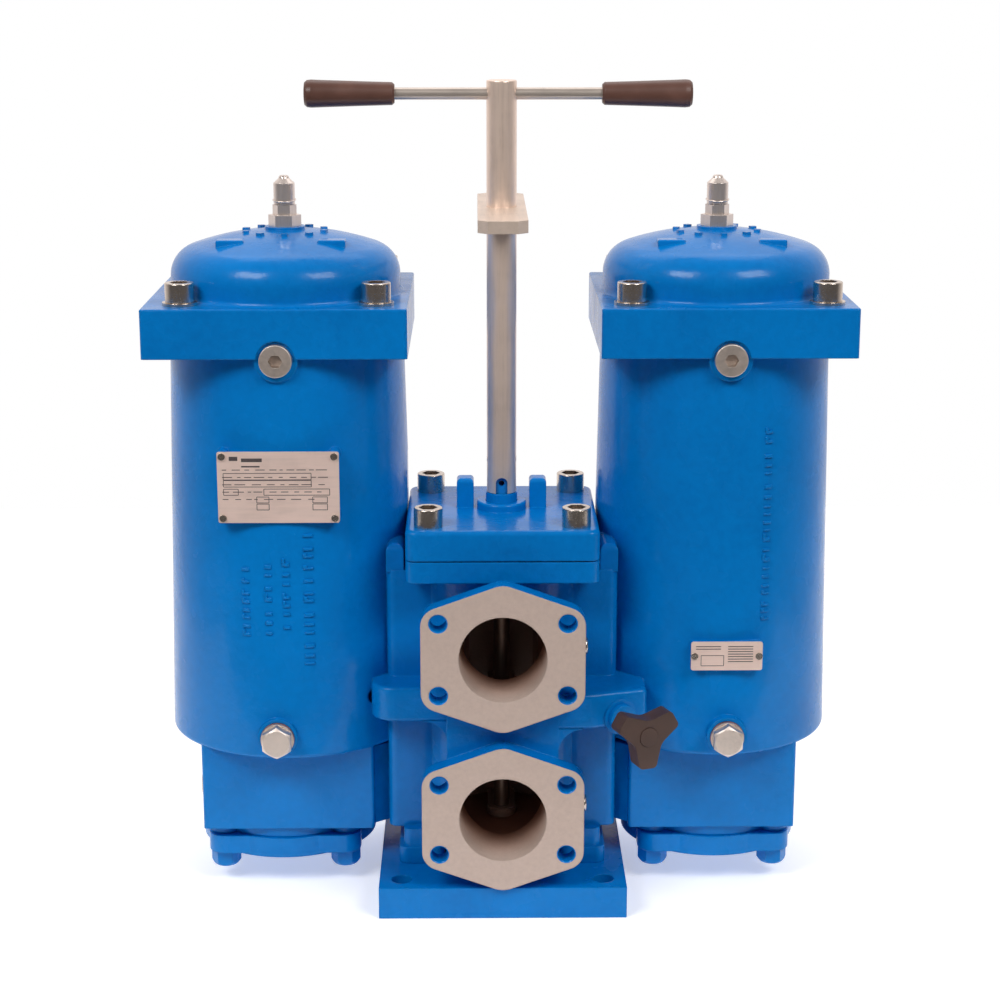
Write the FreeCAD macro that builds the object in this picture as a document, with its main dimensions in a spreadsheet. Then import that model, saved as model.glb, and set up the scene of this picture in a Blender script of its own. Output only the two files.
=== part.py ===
"""Twin basket strainer: two vessels on one casting, with a changeover valve between them.

Frame: origin under the middle of the base plate, on the changeover spindle axis.
X runs from the left vessel to the right one, the ports face -Y, Z is up. Millimetres.
"""
import FreeCAD, Part
import math
import os
import Sketcher

Vec = FreeCAD.Vector
Turn = FreeCAD.Rotation

SIZES = [
    # base plate
    ("base_side", 210.0), ("base_thick", 27.4), ("base_bolt_pitch", 172.0), ("base_hole_dia", 17.5),
    ("foot_x", 67.5), ("foot_wide", 35.0), ("foot_front", 50.0), ("foot_long", 120.0),
    ("foot_screw_front", -28.0), ("foot_screw_back", 48.0),
    # valve block
    ("block_half", 98.0), ("block_front", 40.0), ("block_back", 80.0), ("block_low", 57.0), ("block_top", 288.0),
    ("column_rad", 72.0), ("chamber_rad", 52.0), ("chamber_floor", 52.0), ("sump_rad", 62.0), ("sump_low", 38.0),
    ("top_flange_side", 161.0), ("top_flange_top", 306.0), ("journal_rad", 6.0), ("journal_low", 44.0),
    # ports
    ("port_low", 90.9), ("port_high", 231.3), ("port_face", 110.3), ("port_flange_thick", 18.0),
    ("port_rad", 36.5), ("neck_rad", 47.0), ("port_bolt_x", 53.2), ("port_bolt_z", 30.95), ("port_thread_rad", 7.0),
    ("port_thread_deep", 26.0), ("port_half", 67.75), ("port_corner", 40.0), ("port_apex", 64.3),
    # bridge between the vessels
    ("bridge_low", 164.0), ("bridge_high", 194.0), ("duct_rad", 7.0), ("duct_y", -68.0), ("duct_z", 178.0),
    # vessels
    ("vessel_x", 182.7), ("vessel_y", 34.6), ("shell_low", 131.5), ("shell_top", 474.4),
    ("shell_low_left", 108.0), ("shell_low_right", 103.8), ("shell_top_left", 99.5), ("shell_top_right", 97.5),
    ("flange_x", 185.0), ("flange_left", 216.0), ("flange_right", 209.5), ("flange_deep", 211.0),
    ("flange_top", 497.0), ("bore_rad", 78.0), ("bore_low", 136.0), ("seat_rad", 84.0), ("seat_z", 478.0),
    ("floor_hole_rad", 40.0), ("box_x_left", 184.7), ("box_x_right", 181.8), ("box_left", 148.3),
    ("box_right", 144.2), ("box_front", 77.0), ("box_deep", 156.0), ("box_low", 56.0),
    ("sump_bore_rad", 62.0), ("sump_bore_top", 126.0), ("sump_x_left", 190.2), ("sump_x_right", 185.8),
    ("collar_rad", 74.0), ("collar_low", 46.5), ("ear_rad", 13.0), ("ear_at", 52.6),
    # covers
    ("rim_top", 515.3), ("dome_left", 97.0), ("dome_right", 96.0), ("dome_top", 568.0), ("crown_rad", 243.0),
    ("knuckle_rad", 26.0), ("dome_wall", 12.0), ("screw_x_left", 182.8), ("screw_x_right", 186.0),
    ("cover_bolt", 80.0), ("screw_rad", 8.0), ("head_rad", 12.0), ("head_high", 16.0),
    ("washer_rad", 14.5), ("washer_thick", 2.5), ("spigot_rad", 83.4), ("spigot_low", 488.0),
    # baskets
    ("basket_rad", 66.0), ("basket_wall", 1.5), ("basket_low", 160.0), ("basket_hole_rad", 9.0), ("bail_rad", 62.0),
    # bottom covers
    ("bottom_rad", 77.0), ("bottom_low", 29.0), ("bottom_wide", 133.0), ("bottom_deep", 142.0),
    ("bottom_head", 15.5), ("bottom_bolt_rad", 7.0),
    # plugs
    ("drain_x", 189.5), ("drain_z", 151.5), ("drain_face", -77.0), ("drain_rad", 10.0),
    ("port_plug_left", 184.0), ("port_plug_right", 185.8),
    ("port_plug_z", 473.0), ("port_plug_face", -68.0), ("port_plug_rad", 13.5),
    # vent
    ("vent_low", 570.0), ("vent_hex", 9.5), ("vent_neck_top", 588.0), ("vent_cap_rad", 9.0),
    # changeover
    ("cover_low", 307.0), ("cover_top", 332.5), ("valve_bolt", 61.5), ("spindle_rad", 7.0),
    ("tube_rad", 12.5), ("tube_bore", 9.7), ("tube_low", 347.4), ("tube_top", 693.0), ("bar_z", 682.0),
    ("bar_rad", 5.0), ("bar_half", 156.0), ("grip_long", 74.0), ("grip_half", 159.0), ("lock_top", 590.0),
    ("lock_thick", 10.0), ("lock_wide", 40.0), ("lock_long", 210.0), ("bar_shift", -2.6), ("rotor_rad", 51.2),
    ("rotor_inner", 44.0), ("rotor_span", 80.0),
    # equalising valve
    ("eq_x", 98.0), ("eq_y", -80.0), ("eq_z", 172.0), ("eq_tilt", 22.0), ("knob_out", 48.0), ("knob_thick", 16.0),
]

doc = FreeCAD.newDocument("BasketStrainer")
dim = doc.addObject("Spreadsheet::Sheet", "Dim")
for row, (alias, value) in enumerate(SIZES, start=1):
    dim.set("A%d" % row, alias)
    dim.set("B%d" % row, str(value))
    dim.setAlias("B%d" % row, alias)
doc.recompute()

UP = Turn()
DOWN = Turn(Vec(1, 0, 0), 180)
FRONT = Turn(Vec(1, 0, 0), 90)
RIGHT = Turn(Vec(0, 1, 0), 90)
LEFT = Turn(Vec(0, 1, 0), -90)
SIDES = (("left", -1), ("right", 1))
NODES = []


def tie(thing, prop, value):
    """Bind one property to the sheet; names in braces are sheet aliases."""
    thing.setExpression(prop, str(value).replace("{", "Dim.").replace("}", ""))


def place(thing, at, turn=UP):
    thing.Placement = FreeCAD.Placement(Vec(), turn)
    for axis, value in zip("xyz", at):
        tie(thing, ".Placement.Base." + axis, value)
    return thing


def solid(kind, at, turn=UP, **props):
    """One primitive, its sizes bound to the sheet."""
    thing = doc.addObject("Part::" + kind, kind)
    for prop, value in props.items():
        tie(thing, prop, value)
    return place(thing, at, turn)


def box(wide, deep, high, at, turn=UP):
    """Box centred in X and Y on the point at, standing on it."""
    x, y, z = at
    corner = ("(%s) - (%s)/2" % (x, wide), "(%s) - (%s)/2" % (y, deep), z)
    return solid("Box", corner, turn, Length=wide, Width=deep, Height=high)


def rod(rad, long, at, turn=UP):
    return solid("Cylinder", at, turn, Radius=rad, Height=long)


def hexagon(flats, long, at, turn=UP):
    prism = solid("Prism", at, turn, Circumradius="(%s)/1.7320508" % flats, Height=long)
    prism.Polygon = 6
    return prism


def join(*parts, refine=True):
    fused = doc.addObject("Part::MultiFuse", "Fused")
    fused.Shapes = list(parts)
    fused.Refine = refine
    return fused


def remove(base, *tools):
    left = doc.addObject("Part::Cut", "Machined")
    left.Base = base
    left.Tool = tools[0] if len(tools) == 1 else join(*tools, refine=False)
    left.Refine = True
    return left


def overlap(first, second):
    common = doc.addObject("Part::Common", "Common")
    common.Base = first
    common.Tool = second
    return common


def rounded(base, radius, wanted):
    """Round the edges that the test picks."""
    doc.recompute()
    picked = [i for i, edge in enumerate(base.Shape.Edges, start=1) if wanted(edge)]
    if not picked:
        raise RuntimeError("no edge to round on " + base.Name)
    fillet = doc.addObject("Part::Fillet", "Rounded")
    fillet.Base = base
    fillet.Edges = [(i, radius, radius) for i in picked]
    return fillet


def upright(edge):
    ends = [v.Point for v in edge.Vertexes]
    return len(ends) == 2 and abs(ends[0].x - ends[1].x) < 1e-6 and abs(ends[0].y - ends[1].y) < 1e-6


def level(height):
    return lambda edge: all(abs(v.Point.z - height) < 1e-4 for v in edge.Vertexes)


def node(name, thing):
    thing.Label = name
    NODES.append((name, thing))
    return thing


def group(name, parts):
    """Equal solids that share one node."""
    held = doc.addObject("Part::Compound", "Group")
    held.Links = list(parts)
    return node(name, held)


def sketch_body(name, outline, plane):
    body = doc.addObject("PartDesign::Body", name)
    sketch = body.newObject("Sketcher::SketchObject", "Outline")
    base = [f for f in body.Origin.OriginFeatures if f.Role == plane][0]
    sketch.AttachmentSupport = [(base, "")]
    sketch.MapMode = "FlatFace"
    exprs = [tuple(str(v).replace("{", "Dim.").replace("}", "") for v in point) for point in outline]
    points = [Vec(probe(x), probe(y), 0) for x, y in exprs]
    ids = []
    for start, end in zip(points, points[1:] + points[:1]):
        ids.append(sketch.addGeometry(Part.LineSegment(start, end), False))
    for i, line in enumerate(ids):
        sketch.addConstraint(Sketcher.Constraint("Coincident", line, 2, ids[(i + 1) % len(ids)], 1))
    for line, start, texts in zip(ids, points, exprs):
        for kind, value, text in zip(("DistanceX", "DistanceY"), (start.x, start.y), texts):
            made = sketch.addConstraint(Sketcher.Constraint(kind, -1, 1, line, 1, value))
            if "Dim." in text:
                sketch.setExpression("Constraints[%d]" % made, text)
    return body, sketch


def probe(text):
    """Present value of a sheet expression."""
    gauge = dim.evalExpression(text)
    return float(getattr(gauge, "Value", gauge))


def turned(name, profile, at, turn=UP):
    """Body of revolution about its own Z, from (radius, height) corners."""
    body, sketch = sketch_body(name, profile, "XZ_Plane")
    spun = body.newObject("PartDesign::Revolution", "Turning")
    spun.Profile = sketch
    spun.ReferenceAxis = (sketch, ["V_Axis"])
    spun.Angle = 360
    return place(body, at, turn)


def plate(name, outline, thick, at, turn=UP):
    """Flat body from an outline, thickened along its own Z."""
    body, sketch = sketch_body(name, outline, "XY_Plane")
    pad = body.newObject("PartDesign::Pad", "Thickness")
    pad.Profile = sketch
    tie(pad, "Length", thick)
    return place(body, at, turn)


def soften(body, radius, wanted):
    """Round edges of the last feature of a body."""
    doc.recompute()
    names = ["Edge%d" % i for i, edge in enumerate(body.Shape.Edges, start=1) if wanted(edge)]
    fillet = body.newObject("PartDesign::Fillet", "Softened")
    fillet.Base = (body.Group[-2], names)
    fillet.Radius = radius
    return body


def corners(pitch_x, pitch_y):
    return [(sx * pitch_x, sy * pitch_y) for sx in (-1, 1) for sy in (-1, 1)]


def at_vessel(sign, dx, dy, z, axis="vessel_x"):
    """Point measured from a vessel's own axis, or from another of its centre lines."""
    return ("%d*{%s} + (%s)" % (sign, axis, dx), "{vessel_y} + (%s)" % dy, z)


# ---------------------------------------------------------------- fasteners

def socket_screw(rad, head_rad, head_high, long, at, turn=UP):
    """Cap screw; at is the point under its head."""
    x, y, z = at
    shank = rod(rad, long, at, turn * DOWN)
    head = rod(head_rad, head_high, at, turn)
    doc.recompute()
    under = head.Placement.Base
    head = rounded(head, 1.0, lambda e: len(e.Vertexes) == 1 and e.CenterOfMass.distanceToPoint(under) > 1.0)
    heading = round(turn.multVec(Vec(0, 0, 1)).z)
    recess = (x, y, "(%s) + %d*0.45*(%s)" % (z, heading, head_high))
    return remove(join(shank, head), hexagon("(%s)*1.17" % head_rad, "0.55*(%s) + 1" % head_high, recess, turn))


def hex_bolt(rad, flats, head_high, long, at, turn=UP):
    """Hexagon bolt with a washer face and a turned-off end; at is the point under its head."""
    taper = solid("Cone", at, turn, Radius1="(%s)*1.02" % flats, Radius2="(%s)*0.46" % flats, Height=head_high)
    head = overlap(hexagon(flats, head_high, at, turn), taper)
    return join(rod(rad, long, at, turn * DOWN), head, rod("(%s)*0.58" % flats, 2.5, at, turn))


# ---------------------------------------------------------------- base

def build_base():
    half = "{base_side}/2"
    low = "-{base_side}/2"
    body = plate("base_plate", [(low, low), (half, low), (half, half), (low, half)], "{base_thick}", (0, 0, 0))
    tools = []
    for sx, sy in corners(1, 1):
        spot = ("%d*{base_bolt_pitch}/2" % sx, "%d*{base_bolt_pitch}/2" % sy, -1)
        tools.append(rod("{base_hole_dia}/2", "{base_thick} + 2", spot))
    for sx in (-1, 1):
        for y in ("{foot_screw_front}", "{foot_screw_back}"):
            tools.append(rod("{screw_rad} + 0.7", "{base_thick} + 2", ("%d*{foot_x}" % sx, y, -1)))
            tools.append(rod("{head_rad} + 1", 18, ("%d*{foot_x}" % sx, y, -1)))
    node("base_plate", remove(body, *tools))
    screws = []
    for sx in (-1, 1):
        for y in ("{foot_screw_front}", "{foot_screw_back}"):
            spot = ("%d*{foot_x}" % sx, y, 17)
            screws.append(socket_screw("{screw_rad}", "{head_rad}", "{head_high}", 32, spot, DOWN))
    group("base_screws", screws)


# ---------------------------------------------------------------- housing casting

def port_flange(z):
    outline = [(0, "-{port_apex}"), ("{port_half}", "-{port_corner}"), ("{port_half}", "{port_corner}"),
               (0, "{port_apex}"), ("-{port_half}", "{port_corner}"), ("-{port_half}", "-{port_corner}")]
    body = plate("PortFlange", outline, "{port_flange_thick}", (0, "{port_flange_thick} - {port_face}", z), FRONT)
    body = soften(body, 16, lambda e: along_front(e) and abs(e.CenterOfMass.x) > 30)
    return soften(body, 20, lambda e: along_front(e) and abs(e.CenterOfMass.x) < 1)


def along_front(edge):
    ends = [v.Point for v in edge.Vertexes]
    return len(ends) == 2 and abs(ends[0].x - ends[1].x) < 1e-6 and abs(ends[0].z - ends[1].z) < 1e-6


def valve_block():
    middle = "({block_back} - {block_front})/2"
    deep = "{block_back} + {block_front}"
    high = "{block_top} - {block_low}"
    block = rounded(box("2*{block_half}", deep, high, (0, middle, "{block_low}")), 8,
                    lambda e: upright(e) and e.CenterOfMass.y < 0)
    column = rod("{column_rad}", high, (0, 0, "{block_low}"))
    neck = box("2*{neck_rad}", "{port_face} - 18", "{port_high} - {port_low}",
               (0, "(18 - {port_face})/2", "{port_low}"))
    flange = rounded(box("{top_flange_side}", "{top_flange_side}", "{top_flange_top} - {block_top}",
                         (0, 0, "{block_top}")), 9, upright)
    sump = rod("{sump_rad}", "{block_low} - {sump_low} + 1", (0, 0, "{sump_low}"))
    parts = [block, column, neck, flange, sump]
    for sx in (-1, 1):
        shoulder = box(15, 100, 24, ("%d*({block_half} - 7.5)" % sx, 11, "{block_top} - 2"))
        parts.append(rounded(shoulder, 6, level(probe("Dim.block_top") + 22)))
    for z in ("{port_low}", "{port_high}"):
        parts.append(rod("{neck_rad}", "{port_face} - 18", (0, 0, z), FRONT))
        parts.append(solid("Cone", (0, -80, z), FRONT, Radius1="{neck_rad}", Radius2=59, Height=12.8))
        parts.append(port_flange(z))
        parts.append(rod(11, 30, (36, -72, z), RIGHT))
    for sx in (-1, 1):
        spot = ("%d*{foot_x}" % sx, "{foot_long}/2 - {foot_front}", "{base_thick}")
        parts.append(rounded(box("{foot_wide}", "{foot_long}", "{block_low} - {base_thick} + 1", spot), 7,
                             lambda e: upright(e) and e.CenterOfMass.y < 0))
        step = ("%d*({foot_x} + 2)" % sx, "{foot_long}/2 - {foot_front}", "{base_thick}")
        parts.append(rounded(box("{foot_wide} + 4", "{foot_long} + 6", 15, step), 8,
                             lambda e: upright(e) and e.CenterOfMass.y < 0))
    return parts


def bridges():
    """Flat bands that carry the equalising duct to each vessel."""
    high = "{bridge_high} - {bridge_low}"
    right = plate("BridgeRight", [(0, 0), (0, -92), (60, -92), (74, -90), (121, -76), (121, 0)], high,
                  (0, 0, "{bridge_low}"))
    left = plate("BridgeLeft", [(0, 0), (-111, 0), (-111, -71), (-60, -71), (0, -71)], high,
                 (0, 0, "{bridge_low}"))
    right = soften(right, 4, lambda e: upright(e) and e.CenterOfMass.x > 120 and e.CenterOfMass.y < -70)
    left = soften(left, 20, lambda e: upright(e) and e.CenterOfMass.x < -110 and e.CenterOfMass.y < -70)
    rim = lambda e: level(probe("Dim.bridge_high"))(e) or level(probe("Dim.bridge_low"))(e)
    parts = [rod(15, 30, eq_point(-26), eq_turn())]
    for band in (right, left):
        parts.append(soften(band, 3, lambda e: rim(e) and e.CenterOfMass.y < -50))
    for sx, front in ((-1, 71), (1, 92)):
        haunch = box(20, front - 40, 20.5, ("%d*({neck_rad} + 10)" % sx, -(front + 40) / 2, "{bridge_low} - 20"))
        parts.append(remove(haunch, rod(20, 60, ("%d*({neck_rad} + 20)" % sx, -36, "{bridge_low} - 20"), FRONT)))
    return parts


def eq_turn():
    """Turn from Z to the outward axis of the equalising valve."""
    tilt = math.radians(probe("Dim.eq_tilt"))
    return Turn(Vec(0, 0, 1), Vec(math.sin(tilt), -math.cos(tilt), 0))


def eq_point(out):
    return ("{eq_x} + (%s)*sin({eq_tilt})" % out, "{eq_y} - (%s)*cos({eq_tilt})" % out, "{eq_z}")


def vessel_solids(side, sign):
    shell = solid("Cone", at_vessel(sign, 0, 0, "{shell_low}"), Radius1="{shell_low_%s}" % side,
                  Radius2="{shell_top_%s}" % side, Height="{shell_top} - {shell_low}")
    shell = rounded(shell, 4, level(probe("Dim.shell_low")))
    rim = rounded(box("{flange_%s}" % side, "{flange_deep}", "{flange_top} - {shell_top}",
                      at_vessel(sign, 0, 0, "{shell_top}", "flange_x")), 3, upright)
    middle = at_vessel(sign, 0, "{box_deep}/2 - {box_front}", "{box_low}", "box_x_" + side)
    lower = rounded(box("{box_%s}" % side, "{box_deep}", "{shell_low} - {box_low} + 6", middle), 3, upright)
    parts = [shell, rim, lower]
    axis = "sump_x_" + side
    high = "{box_low} - {collar_low} + 1"
    parts.append(rod("{collar_rad}", high, at_vessel(sign, 0, 0, "{collar_low}", axis)))
    for sx, sy in corners(1, 1):
        spot = at_vessel(sign, "%d*{ear_at}" % sx, "%d*{ear_at}" % sy, "{collar_low}", axis)
        parts.append(rod("{ear_rad}", high, spot))
    web = [(sign * 96, -20), (sign * 118, -37), (sign * 118, 72), (sign * 96, 72)]
    parts.append(plate("Web", web, 71, (0, 0, "{box_low} + 0.5")))
    parts.append(rod(17, 25, ("%d*{drain_x}" % sign, "{drain_face} + 25", "{drain_z}"), FRONT))
    parts.append(rod(18, 20, plug_seat(side, sign, 20), FRONT))
    return parts


def plug_seat(side, sign, back):
    """Point on the axis of an indicator plug, measured back from its seat."""
    return ("%d*{port_plug_%s}" % (sign, side), "{port_plug_face} + (%s)" % back, "{port_plug_z}")


def housing_cuts():
    """Passages and threaded holes of the valve block."""
    cuts = [rod("{chamber_rad}", "{top_flange_top} - {chamber_floor} + 1", (0, 0, "{chamber_floor}")),
            rod("{journal_rad} + 0.05", 20, (0, 0, "{journal_low} - 1"))]
    for z in ("{port_low}", "{port_high}"):
        cuts.append(rod("{port_rad}", "{port_face} + 1", (0, 0, z), FRONT))
        for sx, sz in corners(1, 1):
            spot = ("%d*{port_bolt_x}" % sx, "{port_thread_deep} - {port_face}", "%s + %d*{port_bolt_z}" % (z, sz))
            cuts.append(rod("{port_thread_rad}", "{port_thread_deep} + 1", spot, FRONT))
            mouth = ("%d*{port_bolt_x}" % sx, "1.6 - {port_face}", "%s + %d*{port_bolt_z}" % (z, sz))
            cuts.append(solid("Cone", mouth, FRONT, Radius1="{port_thread_rad}",
                              Radius2="{port_thread_rad} + 1.8", Height=1.7))
        cuts.append(rod(5.1, 40, (30, -72, z), RIGHT))
    for sx, sy in corners(1, 1):
        spot = ("%d*{valve_bolt}" % sx, "%d*{valve_bolt}" % sy, "{block_top} - 1")
        cuts.append(rod("{screw_rad} + 0.1", 20, spot))
    for sx in (-1, 1):
        for y in ("{foot_screw_front}", "{foot_screw_back}"):
            cuts.append(rod("{screw_rad} + 0.1", 24, ("%d*{foot_x}" % sx, y, "{base_thick} - 1")))
        for low in (66, 206):
            cuts.append(box(110, 50, 50, ("%d*90" % sx, 13, low)))
        aim = Turn(Vec(0, 0, 1), Vec(sx * 0.9714, 0.2374, 0))
        cuts.append(rod("{duct_rad}", 160, (0, "{duct_y}", "{duct_z}"), aim))
    cuts.append(rod(5.4, 46, eq_point(-40), eq_turn()))
    cuts.append(rod(9.1, 20, eq_point(-10), eq_turn()))
    return cuts


def vessel_cuts(side, sign):
    axis = "sump_x_" + side
    cuts = [rod("{bore_rad}", "{flange_top} - {bore_low} + 1", at_vessel(sign, 0, 0, "{bore_low}")),
            rod("{seat_rad}", "{flange_top} - {seat_z} + 1", at_vessel(sign, 0, 0, "{seat_z}")),
            rod("{floor_hole_rad}", 20, at_vessel(sign, 0, 0, "{sump_bore_top} - 5")),
            rod("{sump_bore_rad}", "{sump_bore_top} - {collar_low} + 1",
                at_vessel(sign, 0, 0, "{collar_low} - 1", axis)),
            rod("{drain_rad} + 0.1", 60, ("%d*{drain_x}" % sign, -30, "{drain_z}"), FRONT),
            rod("{port_plug_rad} - 2.9", 50, plug_seat(side, sign, 36), FRONT),
            rod("{port_plug_rad} + 2.5", 10, plug_seat(side, sign, 0), FRONT)]
    groove = remove(rod(92, 5, at_vessel(sign, 0, 0, "{flange_top} - 4")),
                    rod(86, 5, at_vessel(sign, 0, 0, "{flange_top} - 4")))
    cuts.append(groove)
    for sx, sy in corners(1, 1):
        cuts.append(rod("{screw_rad} + 0.1", 40, at_screw(side, sign, sx, sy, "{shell_top} - 10")))
        spot = at_vessel(sign, "%d*{ear_at}" % sx, "%d*{ear_at}" % sy, "{collar_low} - 1", axis)
        cuts.append(rod("{bottom_bolt_rad} + 0.1", 30, spot))
    return cuts


def at_screw(side, sign, sx, sy, z):
    """Point on the axis of one of a cover's four screws."""
    return at_vessel(sign, "%d*{cover_bolt}" % sx, "%d*{cover_bolt}" % sy, z, "screw_x_" + side)


def build_housing():
    parts = valve_block() + bridges()
    parts += vessel_solids("left", -1) + vessel_solids("right", 1)
    pads = [(-184 + sx * 46, 368 + sz * 26) for sx, sz in corners(1, 1)]
    for x, z in pads:
        parts.append(rod(5, 22, (x, -48, z), FRONT))
    parts.append(rounded(box(60, 22, 22, (188, -61, 211)), 2, lambda e: e.CenterOfMass.y < -71))
    parts.append(rod(13.5, 20, (-240.5, 30, 70), LEFT))
    cuts = housing_cuts() + vessel_cuts("left", -1) + vessel_cuts("right", 1)
    cuts.append(rod(8.1, 30, (-236, 30, 70), LEFT))
    for x, z in pads:
        cuts.append(rod(1.6, 12, (x, -60, z), FRONT))
    for x in (161, 215):
        cuts.append(rod(1.6, 14, (x, -60, 222), FRONT))
    clear = "{top_flange_side} + 1.2"
    cuts.append(box(clear, clear, 70, (0, 0, "{top_flange_top}")))
    node("housing", remove(join(*parts), *cuts))


# ---------------------------------------------------------------- vessel covers

def dome(rad, crown, knuckle, low, sign, centre_low):
    drum = rod(rad, 100, at_vessel(sign, 0, 0, low))
    ball = solid("Sphere", at_vessel(sign, 0, 0, centre_low), Radius=crown)
    return rounded(overlap(drum, ball), knuckle,
                   lambda e: len(e.Vertexes) == 1 and e.CenterOfMass.z > probe("Dim.rim_top") + 10)


def build_cover(side, sign):
    centre = "{dome_top} - {crown_rad}"
    rad = "{dome_%s}" % side
    outer = dome(rad, "{crown_rad}", probe("Dim.knuckle_rad"), "{flange_top} + 2", sign, centre)
    inner = dome(rad + " - {dome_wall} - 3", "{crown_rad} - {dome_wall}", 16, "{spigot_low} - 1", sign, centre)
    rim = rounded(box("{flange_%s}" % side, "{flange_deep}", "{rim_top} - {flange_top}",
                      at_vessel(sign, 0, 0, "{flange_top}", "flange_x")), 3, upright)
    skin = join(outer, rim)
    doc.recompute()
    skin = rounded(skin, 4, lambda e: level(probe("Dim.rim_top"))(e) and e.Length > 500)
    skin = rounded(skin, 1.5, lambda e: level(probe("Dim.rim_top"))(e) and 190 < e.Length < 215)
    parts = [skin, rod("{spigot_rad}", "{flange_top} - {spigot_low} + 1", at_vessel(sign, 0, 0, "{spigot_low}")),
             rod(17, 12, at_vessel(sign, 0, 0, "{vent_low} - 12"))]
    for sx in (-1, 1):
        parts.append(rounded(box(23, 15, 26, at_vessel(sign, sx * 42, -40, 537.5)), 1.5, level(563.5)))
    for i in range(10):
        a = math.radians(36 * i + 18)
        lump = box(5, 5, 8, (0, 0, 0))
        place(lump, at_vessel(sign, "%.3f" % (32 * math.cos(a)), "%.3f" % (32 * math.sin(a)), 559.6),
              Turn(Vec(0, 0, 1), 36 * i + 18))
        parts.append(lump)
    cuts = [inner, rod(7.1, 40, at_vessel(sign, 0, 0, "{vent_low} - 30"))]
    for sx, sy in corners(1, 1):
        cuts.append(rod("{screw_rad} + 0.7", 40, at_screw(side, sign, sx, sy, "{flange_top} - 5")))
        cuts.append(rod("{washer_rad} + 0.4", 22, at_screw(side, sign, sx, sy, "{rim_top}")))
    node("cover_" + side, remove(join(*parts), *cuts))
    seal = turned("Seal", [(86.5, 0), (91.5, 0), (91.5, 4), (86.5, 4)], at_vessel(sign, 0, 0, "{flange_top} - 4"))
    node("cover_seal_" + side, seal)
    screws = []
    washers = []
    for sx, sy in corners(1, 1):
        spot = at_screw(side, sign, sx, sy, "{rim_top} + {washer_thick}")
        screws.append(socket_screw("{screw_rad}", "{head_rad}", "{head_high}", 40, spot))
        under = at_screw(side, sign, sx, sy, "{rim_top}")
        washers.append(remove(rod("{washer_rad}", "{washer_thick}", under), rod("{screw_rad} + 0.4", 5, under)))
    group("cover_screws_" + side, screws)
    group("cover_washers_" + side, washers)


def build_vent(side, sign):
    low = at_vessel(sign, 0, 0, "{vent_low}")
    parts = [hexagon(24, "{vent_hex}", low), hexagon(17.5, "{vent_neck_top} - {vent_low}", low),
             rod(6, "{vent_neck_top} - {vent_low} + 14", low), rod(7, 18, at_vessel(sign, 0, 0, "{vent_low} - 18"))]
    coupling = remove(join(*parts), rod(2.5, 80, at_vessel(sign, 0, 0, "{vent_low} - 30")))
    node("vent_coupling_" + side, coupling)
    profile = [(6.4, 0), ("{vent_cap_rad}", 0), ("{vent_cap_rad}", 17.6), (4.6, 21.6), (4.2, 23), (3.2, 24),
               (0, 24), (0, 16), (6.4, 16)]
    node("vent_cap_" + side, turned("VentCap", profile, at_vessel(sign, 0, 0, "{vent_neck_top} + 0.4")))


# ---------------------------------------------------------------- baskets and bottom covers

def build_basket(side, sign):
    rad = "{basket_rad}"
    high = "{seat_z} - {basket_low}"
    tube = remove(rod(rad, high, at_vessel(sign, 0, 0, "{basket_low}")),
                  rod("{basket_rad} - {basket_wall}", "400", at_vessel(sign, 0, 0, "{basket_low} - 1")))
    holes = []
    for level_no in range(9):
        for i in range(6):
            heading = 30 * i + 15 * (level_no % 2)
            aim = Turn(Vec(0, 0, 1), Vec(math.cos(math.radians(heading)), math.sin(math.radians(heading)), 0))
            reach = [-80 * v for v in aim.multVec(Vec(0, 0, 1))]
            spot = at_vessel(sign, "%.4f" % reach[0], "%.4f" % reach[1], "{basket_low} + 30 + %d" % (32 * level_no))
            holes.append(rod("{basket_hole_rad}", 160, spot, aim))
    shell = remove(tube, *holes)
    node("basket_shell_" + side, shell)
    ring = [(57, 0), ("{seat_rad} - 0.8", 0), ("{seat_rad} - 0.8", 6), (57, 6)]
    node("basket_ring_" + side, turned("Ring", ring, at_vessel(sign, 0, 0, "{seat_z}")))
    foot = [(0, 0), ("{basket_rad}", 0), ("{basket_rad}", -6), ("{floor_hole_rad} + 6", -6),
            ("{floor_hole_rad} + 6", -24), ("{floor_hole_rad} - 0.5", -24), ("{floor_hole_rad} - 0.5", -32),
            (34, -32), (34, -8), (0, -8)]
    node("basket_foot_" + side, turned("Foot", foot, at_vessel(sign, 0, 0, "{basket_low}")))
    bail = solid("Torus", at_vessel(sign, 0, 0, "{seat_z} + 6"), FRONT, Radius1="{bail_rad}", Radius2=3)
    bail.Angle3 = 180
    legs = overlap(bail, box(200, 20, 120, at_vessel(sign, 0, 0, "{seat_z} + 6")))
    node("basket_bail_" + side, legs)


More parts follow.
